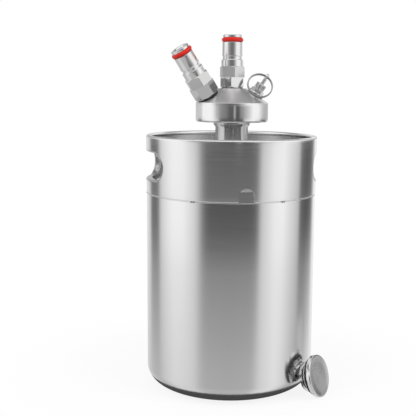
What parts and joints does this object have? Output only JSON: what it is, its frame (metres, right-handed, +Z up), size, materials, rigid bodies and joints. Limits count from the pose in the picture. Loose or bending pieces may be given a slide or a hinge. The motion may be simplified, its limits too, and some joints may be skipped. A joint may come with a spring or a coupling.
{
  "type": "mini keg",
  "caption": "Small stainless steel keg with a rolled carrying collar, a screwed-on dispensing head with liquid and gas posts and a pull-ring relief valve, and its storage stopper.",
  "frame": {"origin": "centre of the flat ring that the keg stands on", "axes": "+Z up along the keg's axis, -Y towards the side with the drain notch, where the gas post is on the left and the relief valve on the right"},
  "size_m": [0.1867, 0.172, 0.3538],
  "materials": {
    "brushed_sheet": "fine brushed stainless steel sheet",
    "turned_satin": "satin turned stainless steel",
    "turned_polished": "polished turned stainless steel",
    "blasted_post": "fine blasted stainless steel with turned bands",
    "spring_wire": "drawn stainless steel wire",
    "red_seal": "smooth red silicone rubber",
    "black_seal": "black rubber",
    "clear_silicone": "translucent silicone rubber"
  },
  "bodies": {
    "keg": {"lower_shell": "brushed_sheet", "top_dome": "brushed_sheet", "neck": "brushed_sheet", "collar": "brushed_sheet", "tack_welds": "brushed_sheet"},
    "seal_ring": {"head_seal": "black_seal"},
    "tube_carrier": {"dip_tube": "clear_silicone"},
    "head": {"head_body": "turned_satin", "dip_tube_barb": "turned_polished", "liquid_adapter": "turned_polished", "liquid_adapter_seal": "black_seal", "liquid_post": "blasted_post", "liquid_post_ring": "red_seal", "liquid_poppet_spring": "spring_wire", "gas_adapter": "turned_polished", "gas_adapter_seal": "black_seal", "gas_post": "blasted_post", "gas_post_ring": "red_seal", "gas_poppet_spring": "spring_wire", "relief_body": "turned_polished", "relief_washer": "black_seal", "relief_cap": "turned_polished", "relief_spring": "spring_wire"},
    "liquid_poppet": {"liquid_poppet": "turned_polished", "liquid_poppet_seal": "black_seal"},
    "gas_poppet": {"gas_poppet": "turned_polished", "gas_poppet_seal": "black_seal"},
    "relief_stem": {"relief_stem": "turned_polished", "relief_stem_seal": "black_seal"},
    "pull_ring": {"pull_ring": "turned_polished"},
    "stopper": {"stopper": "turned_polished", "stopper_seal": "black_seal"}
  },
  "joints": [
    {"name": "head_lift_off", "type": "slide", "parent": "keg", "child": "seal_ring", "axis": [0, 0, 1], "range_m": [0, 0.27]},
    {"name": "head_rise", "type": "slide", "parent": "seal_ring", "child": "tube_carrier", "axis": [0, 0, 1], "range_m": [0, 0.015]},
    {"name": "head_turn", "type": "hinge", "parent": "tube_carrier", "child": "head", "pos_m": [0, 0, 0.268], "axis": [0, 0, 1], "range_deg": [0, 1800]},
    {"name": "liquid_poppet_press", "type": "slide", "parent": "head", "child": "liquid_poppet", "axis": [0, 0, -1], "range_m": [0, 0.003], "stiffness_N_per_m": 1500, "springref_m": -0.002, "deforming": ["liquid_poppet_spring"]},
    {"name": "gas_poppet_press", "type": "slide", "parent": "head", "child": "gas_poppet", "axis": [0.5002, 0.2333, -0.8339], "range_m": [0, 0.003], "stiffness_N_per_m": 1500, "springref_m": -0.002, "deforming": ["gas_poppet_spring"]},
    {"name": "relief_pull", "type": "slide", "parent": "head", "child": "relief_stem", "axis": [0.5436, -0.0958, 0.8339], "range_m": [0, 0.003], "stiffness_N_per_m": 2000, "springref_m": -0.003, "deforming": ["relief_spring"]},
    {"name": "pull_ring_swing", "type": "hinge", "parent": "relief_stem", "child": "pull_ring", "pos_m": [0.03434, -0.00606, 0.31285], "axis": [-0.8212, 0.1448, 0.5519], "range_deg": [0, 293]},
    {"name": "stopper_slide", "type": "slide", "parent": "keg", "child": "stopper", "axis": [0.8643, -0.503, 0], "range_m": [0, 0.08]}
  ],
  "couplings": [
    {"joint": "head_turn", "follows": "head_rise", "rad_per_m": 2094.4}
  ]
}
